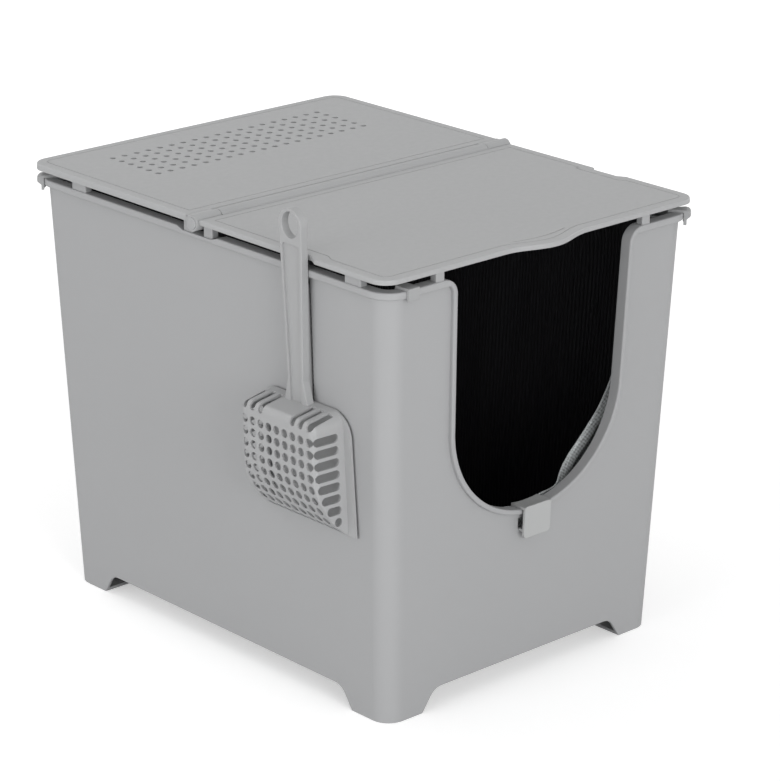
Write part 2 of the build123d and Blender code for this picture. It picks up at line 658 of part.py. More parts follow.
nodes = {
    "base_bucket": bucket,
    **make_posts(bucket),
    "rear_lid": rear_lid,
    "rear_lid_knuckle_right": knuckle,
    "rear_lid_knuckle_left": mirror(knuckle, Plane.YZ),
    "front_lid": front_lid,
    "front_lid_barrel": make_barrel(front_lid),
    "hinge_pin_right": pin,
    "hinge_pin_left": mirror(pin, Plane.YZ),
    "scoop": make_scoop(),
    "liner": make_liner(),
    "liner_hook_front_right": tabbed_hook,
    "liner_hook_front_left": mirror(plain_hook, Plane.YZ),
    "liner_hook_rear_left": half_turn * tabbed_hook,
    "liner_hook_rear_right": half_turn * mirror(plain_hook, Plane.YZ),
    "liner_clip": make_clip(),
}

nodes = {name: (Part() + shape).solid() for name, shape in nodes.items()}
whole = Compound(list(nodes.values())).bounding_box()
to_origin = Pos(-whole.center().X, -whole.center().Y, -whole.min.Z)

os.makedirs("parts", exist_ok=True)
for name, shape in nodes.items():
    export_step(to_origin * shape, f"parts/{name}.step")
    box = (to_origin * shape).bounding_box()
    print(f"{name:26s} {box.min.X:8.1f} {box.max.X:8.1f} {box.min.Y:8.1f} {box.max.Y:8.1f}"
          f" {box.min.Z:8.1f} {box.max.Z:8.1f}")
print("moved by", tuple(round(v, 3) for v in to_origin.position))
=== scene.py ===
# %% [markdown]
# # A front-entry litter box with a fabric liner
# What is left to make here is the cloth liner, the finishes, the light and the camera. Blender
# works in metres, so the sizes below, which a maker would give in millimetres, go through one
# factor. The bucket stands a little off the origin, so its middle is read from the frame, and
# the liner is made round that middle.

# %% Load the frame
from math import cos, pi, radians, sin

import bmesh
import bpy
import numpy as np
from mathutils import Matrix, Vector


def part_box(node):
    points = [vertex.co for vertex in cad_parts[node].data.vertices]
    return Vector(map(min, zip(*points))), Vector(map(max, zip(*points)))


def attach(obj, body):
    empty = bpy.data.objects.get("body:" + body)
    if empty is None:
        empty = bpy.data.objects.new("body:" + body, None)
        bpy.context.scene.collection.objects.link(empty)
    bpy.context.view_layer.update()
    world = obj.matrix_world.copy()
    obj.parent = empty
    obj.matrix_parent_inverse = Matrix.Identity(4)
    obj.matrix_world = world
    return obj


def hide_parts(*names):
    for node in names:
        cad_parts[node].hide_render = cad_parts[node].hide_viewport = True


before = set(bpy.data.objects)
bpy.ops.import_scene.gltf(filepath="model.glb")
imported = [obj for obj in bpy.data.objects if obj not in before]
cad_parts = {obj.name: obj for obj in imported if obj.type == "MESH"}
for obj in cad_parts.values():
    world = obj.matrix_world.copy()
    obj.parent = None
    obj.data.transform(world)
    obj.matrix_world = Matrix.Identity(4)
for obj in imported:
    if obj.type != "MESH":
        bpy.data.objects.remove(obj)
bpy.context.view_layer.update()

MM = 0.001
bucket_low, bucket_high = (np.array(corner, float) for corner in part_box("base_bucket"))
MIDDLE = (bucket_low + bucket_high) / 2 * (1, 1, 0)
print("bucket's middle in mm:", np.round(MIDDLE / MM, 2))

# %% [markdown]
# ## The camera
# A product shot is taken with a long lens from a few metres away, so that the box keeps its
# shape.  The camera's own axes are worked out from three angles: where it looks on the compass,
# how far it looks down, and a small roll.

# %% Camera
CAMERA_PLACE = Vector((-1966.2, -2192.6, 1285.3)) * MM + Vector(MIDDLE)
LOOKS_EAST_OF_REAR = radians(42.49)
LOOKS_DOWN = radians(19.78)
ROLL = radians(0.22)
SENSOR_MM = 36.0
LENS_MM = 145.5
SEES_AS_FAR_AS = 60.0

right = Vector((cos(LOOKS_EAST_OF_REAR), -sin(LOOKS_EAST_OF_REAR), 0))
forward = Vector((sin(LOOKS_EAST_OF_REAR) * cos(LOOKS_DOWN),
                  cos(LOOKS_EAST_OF_REAR) * cos(LOOKS_DOWN), -sin(LOOKS_DOWN)))
up = right.cross(forward)
rolled_right = cos(ROLL) * right + sin(ROLL) * up
rolled_up = cos(ROLL) * up - sin(ROLL) * right
axes = Matrix((rolled_right, rolled_up, -forward)).transposed().to_4x4()

camera = bpy.data.objects.new("camera", bpy.data.cameras.new("camera"))
bpy.context.scene.collection.objects.link(camera)
camera.matrix_world = Matrix.Translation(CAMERA_PLACE) @ axes
camera.data.sensor_fit = "HORIZONTAL"
camera.data.sensor_width = SENSOR_MM
camera.data.lens = LENS_MM
camera.data.clip_end = SEES_AS_FAR_AS
bpy.context.scene.camera = camera
print("camera looks along", [round(c, 3) for c in forward])

# %% [markdown]
# ## Building blocks for node materials
# Plastic and cloth are never one flat colour.  A shader node group holds one such effect, and a
# material places it with its own values.  Three small helpers keep the wiring short: one starts a
# group with named sockets, one adds a node with its settings, and one makes a material.

# %% Helpers for nodes
def new_group(name, inputs, outputs):
    """Node group with named sockets; a socket is (name, type, default value)."""
    group = bpy.data.node_groups.new(name, "ShaderNodeTree")
    for socket_name, kind, value in inputs:
        socket = group.interface.new_socket(socket_name, in_out="INPUT", socket_type=kind)
        if value is not None:
            socket.default_value = value
    for socket_name, kind in outputs:
        group.interface.new_socket(socket_name, in_out="OUTPUT", socket_type=kind)
    return group, group.nodes.new("NodeGroupInput"), group.nodes.new("NodeGroupOutput")


def add_node(tree, kind, settings=(), **sockets):
    """Node of a kind; settings are its properties, sockets its inputs, as values or links.

    An input is given by its name, with _ for a space, or as i0, i1 and so on by its number.
    """
    node = tree.nodes.new(kind)
    for key, value in dict(settings).items():
        setattr(node, key, value)
    for key, value in sockets.items():
        numbered = key[1:].isdigit()
        socket = node.inputs[int(key[1:]) if numbered else key.replace("_", " ")]
        if isinstance(value, bpy.types.NodeSocket):
            tree.links.new(value, socket)
        else:
            socket.default_value = value
    return node


def maths(tree, operation, *values):
    """Output of a Math node that works on numbers or links."""
    numbered = {f"i{place}": value for place, value in enumerate(values)}
    return add_node(tree, "ShaderNodeMath", {"operation": operation}, **numbered).outputs[0]


def rescale(tree, value, low, high, to_low, to_high):
    """Value from one range mapped to another and held inside it."""
    node = add_node(tree, "ShaderNodeMapRange", {"clamp": True}, Value=value, From_Min=low,
                    From_Max=high, To_Min=to_low, To_Max=to_high)
    return node.outputs[0]


FLOAT, VECTOR = "NodeSocketFloat", "NodeSocketVector"
print("helpers for nodes are ready")

# %% [markdown]
# ## The skin of moulded plastic
# The bucket, lids, scoop, hooks and clip are polypropylene from a mould with a fine matt texture.
# Near by, that texture scatters the gloss; from afar the colour drifts a little where the melt
# flowed.  A picture could be wrapped round each piece, but a noise in space needs no unwrapping
# and runs on over every edge.  Three noises of very different size give grain, specks and flow.

# %% Group: moulded skin
skin_group, skin_in, skin_out = new_group(
    "moulded_skin",
    [("Position", VECTOR, None), ("Grain per metre", FLOAT, 900.0), ("Drift", FLOAT, 0.03)],
    [("Tone", FLOAT), ("Gloss mask", FLOAT), ("Height", FLOAT)])
FLOW_PER_METRE, SPECKS_PER_METRE = 5.0, 160.0
NOISE_MIDDLE = 0.5
FLECK_SHARE = 0.5
fine = add_node(skin_group, "ShaderNodeTexNoise", Vector=skin_in.outputs["Position"],
                Scale=skin_in.outputs["Grain per metre"], Detail=2.0, Roughness=0.55)
broad = add_node(skin_group, "ShaderNodeTexNoise", Vector=skin_in.outputs["Position"],
                 Scale=FLOW_PER_METRE, Detail=3.0, Roughness=0.5)
specks = add_node(skin_group, "ShaderNodeTexNoise", Vector=skin_in.outputs["Position"],
                  Scale=SPECKS_PER_METRE, Detail=2.0, Roughness=0.6)
drift = maths(skin_group, "MULTIPLY",
              maths(skin_group, "SUBTRACT", broad.outputs[0], NOISE_MIDDLE),
              skin_in.outputs["Drift"])
fleck = maths(skin_group, "MULTIPLY",
              maths(skin_group, "SUBTRACT", specks.outputs[0], NOISE_MIDDLE),
              maths(skin_group, "MULTIPLY", skin_in.outputs["Drift"], FLECK_SHARE))
tone = maths(skin_group, "ADD", maths(skin_group, "ADD", drift, fleck), 1.0)
skin_group.links.new(tone, skin_out.inputs["Tone"])
skin_group.links.new(specks.outputs[0], skin_out.inputs["Gloss mask"])
skin_group.links.new(fine.outputs[0], skin_out.inputs["Height"])
print("group moulded_skin:", len(skin_group.nodes), "nodes")

# %% [markdown]
# ## Rounded edges with a painted highlight
# Every edge of a moulding is a little round and catches light.  Rounding the meshes would change
# pieces that are finished.  A Bevel node instead looks at the surface around a point and gives
# the normal of a rounded edge.  Where that normal leaves the true one, there is an edge, and
# there the colour is painted paler, a painted highlight of the light that the rounding catches.

# %% Group: rounded edge
edge_group, edge_in, edge_out = new_group(
    "rounded_edge", [("Radius", FLOAT, 0.001), ("Paler", FLOAT, 0.1)],
    [("Normal", VECTOR), ("Edge", FLOAT)])
# From how far the two normals part an edge is taken as one, and where it counts in full.
EDGE_SEEN = (0.02, 0.3)
rounded = add_node(edge_group, "ShaderNodeBevel", {"samples": 6}, Radius=edge_in.outputs["Radius"])
true_normal = add_node(edge_group, "ShaderNodeNewGeometry").outputs["True Normal"]
agreement = add_node(edge_group, "ShaderNodeVectorMath", {"operation": "DOT_PRODUCT"},
                     i0=rounded.outputs[0], i1=true_normal).outputs["Value"]
bent = maths(edge_group, "SUBTRACT", 1.0, agreement)
edge_group.links.new(rounded.outputs[0], edge_out.inputs["Normal"])
# The Edge output is the mask of a painted highlight on edges, scaled by Paler.
edge_group.links.new(
    maths(edge_group, "MULTIPLY", rescale(edge_group, bent, *EDGE_SEEN, 0.0, 1.0),
          edge_in.outputs["Paler"]), edge_out.inputs["Edge"])
print("group rounded_edge:", len(edge_group.nodes), "nodes")

# %% [markdown]
# ## Finishes of the moulded pieces
# One function makes every plastic, because the pieces come from like moulds and differ only in
# shade, gloss and how round their edges are.  The lids are a little glossier than the bucket, and
# the clip is the palest piece.  The values that are the same all over a piece sit straight on the
# Principled shader's sockets.

# %% Moulded plastic
# How much paler the painted highlight makes the plastic at edges, and how much of that its edges
# show.
EDGE_HIGHLIGHT_GAIN, EDGE_HIGHLIGHT_SHARE = 1.35, 0.35
MASK_RANGE = (0.3, 0.7)
GLOSS_SPREAD = 0.05


def place_group(tree, group, **sockets):
    """Node that stands for a group in a material."""
    return add_node(tree, "ShaderNodeGroup", {"node_tree": group}, **sockets)


def moulded_plastic(name, grey, roughness, edge_mm, drift=0.03, grain=900.0):
    """Matt grey polypropylene: drifting tone, fine grain, and edges rounded by edge_mm with a
    painted highlight.
    """
    material = bpy.data.materials.new(name)
    material.use_nodes = True
    tree = material.node_tree
    shader = tree.nodes["Principled BSDF"]
    place = add_node(tree, "ShaderNodeTexCoord").outputs["Object"]
    skin = place_group(tree, skin_group, Position=place, Grain_per_metre=grain, Drift=drift)
    edge = place_group(tree, edge_group, Radius=edge_mm * MM, Paler=EDGE_HIGHLIGHT_SHARE)
    toned = add_node(tree, "ShaderNodeMix", {"data_type": "RGBA", "blend_type": "MULTIPLY"})
    toned.inputs["Factor"].default_value = 1.0
    toned.inputs["A"].default_value = (*grey, 1)
    tree.links.new(skin.outputs["Tone"], toned.inputs["B"])
    # Painted highlight: where the Bevel node finds an edge, the colour is painted paler.
    paler = add_node(tree, "ShaderNodeMix", {"data_type": "RGBA"})
    tree.links.new(edge.outputs["Edge"], paler.inputs["Factor"])
    tree.links.new(toned.outputs["Result"], paler.inputs["A"])
    paler.inputs["B"].default_value = (*(min(1.0, EDGE_HIGHLIGHT_GAIN * c) for c in grey), 1)
    tree.links.new(paler.outputs["Result"], shader.inputs["Base Color"])
    gloss = rescale(tree, skin.outputs["Gloss mask"], *MASK_RANGE, roughness - GLOSS_SPREAD,
                    roughness + GLOSS_SPREAD)
    tree.links.new(gloss, shader.inputs["Roughness"])
    bump = add_node(tree, "ShaderNodeBump", Strength=0.12, Distance=0.0002,
                    Height=skin.outputs["Height"], Normal=edge.outputs["Normal"])
    tree.links.new(bump.outputs[0], shader.inputs["Normal"])
    shader.inputs["Specular IOR Level"].default_value = 0.35
    return material


plastics = {
    "base_bucket": moulded_plastic("bucket_plastic", (0.375, 0.378, 0.384), roughness=0.55,
                                   edge_mm=0.9),
    "rear_lid": moulded_plastic("lid_plastic", (0.40, 0.404, 0.408), roughness=0.46,
                                edge_mm=0.7, drift=0.04),
    "scoop": moulded_plastic("scoop_plastic", (0.385, 0.388, 0.392), roughness=0.45,
                             edge_mm=0.5),
    "hinge_pin_right": moulded_plastic("pin_plastic", (0.37, 0.374, 0.38), roughness=0.5,
                                       edge_mm=0.4),
    "liner_hook_front_right": moulded_plastic("hook_plastic", (0.36, 0.364, 0.368),
                                              roughness=0.5, edge_mm=0.4),
    "liner_clip": moulded_plastic("clip_plastic", (0.43, 0.436, 0.436), roughness=0.48,
                                  edge_mm=0.6),
}
same_finish = {
    "rear_lid_knuckle_right": "rear_lid",
    "rear_lid_knuckle_left": "rear_lid",
    "front_lid": "rear_lid",
    "front_lid_barrel": "rear_lid",
    "hinge_pin_left": "hinge_pin_right",
    "liner_hook_front_left": "liner_hook_front_right",
    "liner_hook_rear_left": "liner_hook_front_right",
    "liner_hook_rear_right": "liner_hook_front_right",
}
same_finish.update({node: "base_bucket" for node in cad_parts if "rim_post" in node})
for node, twin in same_finish.items():
    plastics[node] = plastics[twin]
for node, material in plastics.items():
    for material_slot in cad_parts[node].material_slots:
        material_slot.material = material
print("finished", len(plastics), "moulded pieces")

# %% [markdown]
# ## Cloth
# The liner is a coated fabric: black and finely ribbed inside, with a silvery weave outside.  Both
# patterns follow the cloth as it turns its corners, so they can't be noises in space.  They read
# the liner's own UV map, whose units are metres along and up the cloth.

# %% Group: woven threads
weave_group, weave_in, weave_out = new_group(
    "woven_threads", [("Cloth place", VECTOR, None), ("Threads per metre", FLOAT, 900.0)],
    [("Height", FLOAT), ("Thread tone", FLOAT)])
weave_axes = add_node(weave_group, "ShaderNodeSeparateXYZ", Vector=weave_in.outputs["Cloth place"])
turns = maths(weave_group, "MULTIPLY", weave_in.outputs["Threads per metre"], pi)
warp = maths(weave_group, "SINE", maths(weave_group, "MULTIPLY", weave_axes.outputs["X"], turns))
weft = maths(weave_group, "SINE", maths(weave_group, "MULTIPLY", weave_axes.outputs["Y"], turns))
crossing = maths(weave_group, "MULTIPLY", warp, weft)
UNEVEN_PER_METRE = 480.0
CROSSING_SHARE = 0.3
SHADE_RANGE, TONE_RANGE = (0.2, 0.8), (0.55, 1.4)
uneven = add_node(weave_group, "ShaderNodeTexNoise", Vector=weave_in.outputs["Cloth place"],
                  Scale=UNEVEN_PER_METRE, Detail=2.0)
raised = rescale(weave_group, crossing, -1.0, 1.0, 0.0, 1.0)
weave_group.links.new(raised, weave_out.inputs["Height"])
shade = maths(weave_group, "ADD", maths(weave_group, "MULTIPLY", crossing, CROSSING_SHARE),
              uneven.outputs[0])
weave_group.links.new(rescale(weave_group, shade, *SHADE_RANGE, *TONE_RANGE),
                      weave_out.inputs["Thread tone"])
print("group woven_threads:", len(weave_group.nodes), "nodes")

# %% [markdown]
# The ribs of the inside are one row of ridges along the cloth.  A slow noise shifts them a little
# as they run, so that they don't look drawn with a ruler.

# %% Group: fine ribs
rib_group, rib_in, rib_out = new_group(
    "fine_ribs", [("Cloth place", VECTOR, None), ("Ribs per metre", FLOAT, 125.0)],
    [("Height", FLOAT), ("Rib tone", FLOAT)])
rib_axes = add_node(rib_group, "ShaderNodeSeparateXYZ", Vector=rib_in.outputs["Cloth place"])
WANDER_PER_METRE, WANDER = 9.0, 1.5
RIB_TONES = (0.7, 1.4)
wander = add_node(rib_group, "ShaderNodeTexNoise", Vector=rib_in.outputs["Cloth place"],
                  Scale=WANDER_PER_METRE)
turn = maths(rib_group, "MULTIPLY", rib_in.outputs["Ribs per metre"], 2 * pi)
phase = maths(rib_group, "ADD", maths(rib_group, "MULTIPLY", rib_axes.outputs["X"], turn),
              maths(rib_group, "MULTIPLY", wander.outputs[0], WANDER))
ridge = rescale(rib_group, maths(rib_group, "SINE", phase), -1.0, 1.0, 0.0, 1.0)
rib_group.links.new(ridge, rib_out.inputs["Height"])
rib_group.links.new(rescale(rib_group, ridge, 0.0, 1.0, *RIB_TONES), rib_out.inputs["Rib tone"])
print("group fine_ribs:", len(rib_group.nodes), "nodes")

# %% [markdown]
# ## Finishes of the cloth
# Cloth scatters light at its threads, so it is rough, has a faint sheen, and its bumps are the
# threads themselves.  One function makes all three cloths, from a colour and one of the two
# pattern groups.  The tape at the hem has the silver outside's colour and a finer weave.

# %% Cloth materials
WORN_SPREAD = 0.08


def cloth(name, colour, roughness, pattern, tone, height_mm, sheen, **values):
    """Cloth whose tone and height follow a pattern group on the piece's own UV map."""
    material = bpy.data.materials.new(name)
    material.use_nodes = True
    tree = material.node_tree
    shader = tree.nodes["Principled BSDF"]
    place = add_node(tree, "ShaderNodeUVMap", {"uv_map": "cloth"}).outputs[0]
    threads = place_group(tree, pattern, Cloth_place=place, **values)
    toned = add_node(tree, "ShaderNodeMix", {"data_type": "RGBA", "blend_type": "MULTIPLY"})
    toned.inputs["Factor"].default_value = 1.0
    toned.inputs["A"].default_value = (*colour, 1)
    tree.links.new(threads.outputs[tone], toned.inputs["B"])
    tree.links.new(toned.outputs["Result"], shader.inputs["Base Color"])
    bump = add_node(tree, "ShaderNodeBump", Strength=0.6, Distance=height_mm * MM,
                    Height=threads.outputs["Height"])
    tree.links.new(bump.outputs[0], shader.inputs["Normal"])
    gloss = rescale(tree, threads.outputs["Height"], 0.0, 1.0, roughness + WORN_SPREAD,
                    roughness - WORN_SPREAD)
    tree.links.new(gloss, shader.inputs["Roughness"])
    shader.inputs["Sheen Weight"].default_value = sheen
    shader.inputs["Sheen Roughness"].default_value = 0.5
    shader.inputs["Specular IOR Level"].default_value = 0.3
    return material


SILVER, BLACK = (0.58, 0.605, 0.61), (0.011, 0.011, 0.013)
outside_cloth = cloth("silver_weave", SILVER, 0.5, weave_group, "Thread tone",
                      height_mm=0.25, sheen=0.15, Threads_per_metre=450.0)
inside_cloth = cloth("black_ribbed_cloth", BLACK, 0.6, rib_group, "Rib tone",
                     height_mm=0.8, sheen=0.05, Ribs_per_metre=215.0)
hem_cloth = cloth("hem_tape", SILVER, 0.6, weave_group, "Thread tone",
                  height_mm=0.2, sheen=0.1, Threads_per_metre=900.0)
print("cloth materials:", outside_cloth.name, inside_cloth.name, hem_cloth.name)

# %% [markdown]
# ## The shape of the liner
# The liner is a sewn tub that hangs on four hooks at its corners and is clipped under the
# entry.  Its walls are one sheet round the bucket.  A cloth simulation would need pins, weights
# and many frames to settle, while this tub's slack is known.  So the sheet is worked out flat
# first: a place on it is `s`, the distance round the loop from the middle of the front, and `z`,
# the height.  Then each place is carried onto a rounded rectangle that widens with height, as the
# bucket does.

# %% The loop that the cloth hangs round
WALL_FLARE = 0.03784
HEM_Z = 420.0
LOW_Z = 25.9
CORNER_R = 16.0
LOW_BEND_R = 14.0
# The bucket at its bottom, and how far within its outside the cloth hangs.
BUCKET_LOW_HALF_WIDTH, BUCKET_LOW_HALF_LENGTH = 177.8, 237.8
WITHIN_BUCKET = 12.0
HALF_WIDTH = BUCKET_LOW_HALF_WIDTH + WALL_FLARE * HEM_Z - WITHIN_BUCKET
HALF_LENGTH = BUCKET_LOW_HALF_LENGTH + WALL_FLARE * HEM_Z - WITHIN_BUCKET
STRAIGHT_X = HALF_WIDTH - CORNER_R
STRAIGHT_Y = HALF_LENGTH - CORNER_R
ARC = CORNER_R * pi / 2
LOOP = 4 * (STRAIGHT_X + STRAIGHT_Y + ARC)


def loop_point(s):
    """Place and outward direction at distance s round the hem, from the middle of the front.

    The loop is straight, arc, straight, arc and so on; each stretch is np.interp between its ends
    for the straights, and centre + CORNER_R (cos t, sin t) for the arcs.
    """
    s = np.mod(s, LOOP)
    ends = np.cumsum([0, STRAIGHT_X, ARC, 2 * STRAIGHT_Y, ARC, 2 * STRAIGHT_X, ARC,
                      2 * STRAIGHT_Y, ARC, STRAIGHT_X])
    turn = np.interp(s, ends, np.array([-1, -1, 0, 0, 1, 1, 2, 2, 3, 3]) * pi / 2)
    centre_x = np.interp(s, ends, np.array([0, 1, 1, 1, 1, -1, -1, -1, -1, 0]) * STRAIGHT_X)
    centre_y = np.interp(s, ends, np.array([-1, -1, -1, 1, 1, 1, 1, -1, -1, -1]) * STRAIGHT_Y)
    out = np.stack([np.cos(turn), np.sin(turn)], -1)
    return np.stack([centre_x, centre_y], -1) + CORNER_R * out, out


def signed(s):
    """s as a distance to the right of the middle of the front, or less than 0 to its left."""
    return (s + LOOP / 2) % LOOP - LOOP / 2


def hang(s, z, inward):
    """Points of the cloth at (s, z), moved inward: hem loop shrunk by the flare below the hem."""
    place, out = loop_point(s)
    shrink = WALL_FLARE * (HEM_Z - z)[..., None]
    toward = np.clip(place / (STRAIGHT_X, STRAIGHT_Y), -1, 1)
    flat = place - shrink * toward - inward[..., None] * out
    return np.concatenate([flat, z[..., None]], -1)


print("hem loop:", round(LOOP, 1), "mm round")

# %% [markdown]
# The top edge of the sheet runs along the hem, and in front it dips down and round the entry.  It
# is one line in (s, z): straight, a small rounded corner, down the side, and half an ellipse.
# Columns of cloth run from that line down to the bottom.  They go nearly straight down, and where
# the edge is steep they fan out a little, so that no column crosses back into the entry.  Past the
# entry they come back to an even spacing.

# %% The sheet's top edge
ENTRY_TOP_HALF = 120.0
ENTRY_LOW_HALF = 117.0
ENTRY_LOW_Z = 281.0
ENTRY_BOTTOM_Z = 172.5
EDGE_CORNER_R = 11.0
FRONT_SPAN = 160.0
EDGE_STEP = 4.0
HEM_STEP = 5.5
COLUMN_GAP = 0.4
COLUMNS_BACK_FROM = ENTRY_TOP_HALF + 1
BOW_POINTS, BEND_POINTS = 40, 12


def resample(line, step):
    """The line again with evenly spaced points about step apart."""
    far = np.concatenate([[0], np.cumsum(np.linalg.norm(np.diff(line, axis=0), axis=1))])
    at = np.linspace(0, far[-1], int(round(far[-1] / step)) + 1)
    return np.stack([np.interp(at, far, line[:, k]) for k in range(2)], -1)


bow = np.linspace(0, pi / 2, BOW_POINTS)
ellipse = np.stack([ENTRY_LOW_HALF * np.sin(bow),
                    ENTRY_LOW_Z - (ENTRY_LOW_Z - ENTRY_BOTTOM_Z) * np.cos(bow)], -1)
bend = np.linspace(pi, pi / 2, BEND_POINTS)
corner = np.stack([ENTRY_TOP_HALF + EDGE_CORNER_R * (1 + np.cos(bend)),
                   HEM_Z - EDGE_CORNER_R * (1 - np.sin(bend))], -1)
half_edge = resample(np.concatenate([ellipse, corner, [[FRONT_SPAN, HEM_Z]]]), EDGE_STEP)
widening = 1 - WALL_FLARE * (HEM_Z - half_edge[:, 1]) / STRAIGHT_X
before_end = half_edge[:, 0] < FRONT_SPAN - 1
half_edge[:, 0] = np.where(before_end, half_edge[:, 0] / widening, FRONT_SPAN)
front_edge = np.concatenate([half_edge[:0:-1] * (-1, 1), half_edge])
rest_s = np.linspace(FRONT_SPAN, LOOP - FRONT_SPAN, int((LOOP - 2 * FRONT_SPAN) / HEM_STEP))[1:-1]
edge_s = np.concatenate([front_edge[:, 0], rest_s])
edge_z = np.concatenate([front_edge[:, 1], np.full(len(rest_s), HEM_Z)])
edge_half_s = half_edge[:, 0]
foot_half = np.concatenate([[0], np.cumsum(np.maximum(np.diff(edge_half_s), COLUMN_GAP))])
past_entry = np.clip((edge_half_s - COLUMNS_BACK_FROM) / (FRONT_SPAN - COLUMNS_BACK_FROM), 0, 1)
foot_half -= (foot_half[-1] - FRONT_SPAN) * past_entry
foot_s = np.concatenate([-foot_half[:0:-1], foot_half, rest_s])
print("columns of cloth:", len(edge_s), "of them round the entry:", len(front_edge))

# %% [markdown]
# ## How the cloth sags
# Between its hooks the hem droops a little and leans in, except in front, where the entry cuts
# it.  Beside the clip the edge of the entry pulls away from the bucket, and the silver outside
# shows.  That slack is given along the edge of the entry, and the rest of the cloth takes the
# slack of the edge's nearest point, times a curl: behind the lip lies a shallow hollow, behind
# that the cloth swells most, and further off the slack dies away.  Shallow folds run over the
# whole wall and grow calm at the hooks, near the entry and at the bottom.

# %% Sag
PLAIN_HOOK_S = 168.5
CORNER_HOOK_S = STRAIGHT_X + ARC / 2
HOOK_S = np.array([CORNER_HOOK_S, -PLAIN_HOOK_S,
                   LOOP / 2 + CORNER_HOOK_S, LOOP / 2 - PLAIN_HOOK_S])
HELD_REACH = 90.0
HEM_DROOP = 5.0
HEM_LEAN = 7.0
HEM_FADE = 26.0
HEM_FROM_Z, HEM_FULL_Z = 380.0, HEM_Z
FRONT_CALM_TO, FRONT_FREE_FROM = 150.0, 210.0
# Slack beside the clip: distances along the entry's edge from its lowest point, and depths there.
SLACK_AT = (46, 52, 60, 72, 84, 92, 104, 120, 136, 152, 166, 180)
SLACK_IN = (0, 3.2, 8.6, 14.4, 17.0, 17.4, 16.6, 14.8, 10.8, 7.4, 3.6, 0)
# Two small bumps close to the clip: distance along the edge, width, depth.
CLIP_BUMPS = ((28.0, 9.0, 4.0), (-18.0, 9.0, 4.0))


def smooth_step(t):
    """0 up to t = 0, 1 from t = 1, and t^2 (3 - 2 t) between."""
    t = np.clip(t, 0, 1)
    return t * t * (3 - 2 * t)


def held(s):
    """0 at a hook and 1 well away from every hook, as a smooth step over HELD_REACH."""
    gap = np.abs(signed(s[..., None] - HOOK_S)).min(-1)
    return smooth_step(gap / HELD_REACH)


def bell(x, middle, width):
    """Bell curve exp(-((x - middle) / width)^2)."""
    return np.exp(-((x - middle) / width) ** 2)


edge_far = (np.arange(len(front_edge)) - (len(front_edge) - 1) / 2) * EDGE_STEP
entry_in = np.interp(edge_far, SLACK_AT, SLACK_IN)
entry_in += sum(depth * bell(edge_far, middle, width) for middle, width, depth in CLIP_BUMPS)
high_up = np.clip((edge_z - HEM_FROM_Z) / (HEM_FULL_Z - HEM_FROM_Z), 0, 1)
past_front = (np.abs(signed(edge_s)) - FRONT_CALM_TO) / (FRONT_FREE_FROM - FRONT_CALM_TO)
hem_part = high_up * held(edge_s) * np.clip(past_front, 0, 1)
edge_z = edge_z - HEM_DROOP * hem_part
print("deepest slack of the entry's edge in mm:", round(float(entry_in.max()), 1))

# %% [markdown]
# The walls are worked out whole, as arrays with one column for each point of the edge.  Their rows
# lie closer together near the top edge, where the cloth bends most.

# %% Walls of the liner
WALL_ROWS = 40
ROWS_CLOSE_UP = 1.3
LEAN_POWER = 1.5
CURL_FADE = 70.0
SWELL, SWELL_FROM, SWELL_OVER = 0.6, 10.0, 12.0
HOLLOW, HOLLOW_AT, HOLLOW_WIDTH = 0.25, 8.0, 6.5
ENTRY_CALM_TO, ENTRY_CALM_OVER, ENTRY_CALM = 125.0, 60.0, 0.1
LOW_CALM_OVER = 80.0
HELD_CALM = 0.35
# Broad and fine folds: depth, number round the loop, and the height over which they sway or lean.
BROAD_IN, BROAD_COUNT, BROAD_TILT, BROAD_SWAY = 1.4, 13, 75.0, 1.1
FINE_IN, FINE_COUNT, FINE_TILT = 0.6, 31, 60.0

down = np.linspace(0, 1, WALL_ROWS)[None, :] ** ROWS_CLOSE_UP
wall_low = LOW_Z + LOW_BEND_R
wall_z = edge_z[:, None] + (wall_low - edge_z[:, None]) * down
wall_s = edge_s[:, None] + (foot_s - edge_s)[:, None] * down
below_edge = edge_z[:, None] - wall_z
lean = HEM_LEAN * hem_part[:, None] * np.exp(-(below_edge / HEM_FADE) ** LEAN_POWER)
on_sheet = np.stack([signed(wall_s), wall_z], -1)
from_edge = np.linalg.norm(on_sheet[:, :, None] - front_edge, axis=-1)
nearest, away = from_edge.argmin(-1), from_edge.min(-1)
swell = 1 + SWELL * smooth_step((away - SWELL_FROM) / SWELL_OVER)
curl = bell(away, 0, CURL_FADE) * swell - HOLLOW * bell(away, HOLLOW_AT, HOLLOW_WIDTH)
slack = lean + entry_in[nearest] * curl
past_sides = (np.abs(signed(wall_s)) - ENTRY_CALM_TO) / ENTRY_CALM_OVER
calm = (np.clip((wall_z - wall_low) / LOW_CALM_OVER, 0, 1)
        * (HELD_CALM + (1 - HELD_CALM) * held(wall_s)) * np.clip(past_sides, ENTRY_CALM, 1))
broad_sway = BROAD_SWAY * np.sin(wall_z / BROAD_TILT)
folds = (BROAD_IN * (1 + np.sin(2 * pi * BROAD_COUNT * wall_s / LOOP + broad_sway))
         + FINE_IN * (1 + np.sin(2 * pi * FINE_COUNT * wall_s / LOOP + wall_z / FINE_TILT)))
wall = hang(wall_s, wall_z, slack + calm * folds)
print("deepest sag of the cloth in mm:", round(float((slack + calm * folds).max()), 1))

# %% [markdown]
# Below the walls the cloth turns in with a soft bend and covers the floor.  Each column goes on to
# the spine in the middle of the floor, where the two sides meet and are merged.  The floor ripples
# by a millimetre or two, and lies flat along its edge and along the spine.

# %% Bend and floor of the liner
BEND_ROWS, FLOOR_ROWS = 5, 10
RIPPLE_IN, RIPPLE_X, RIPPLE_Y = 0.9, 37.0, 53.0

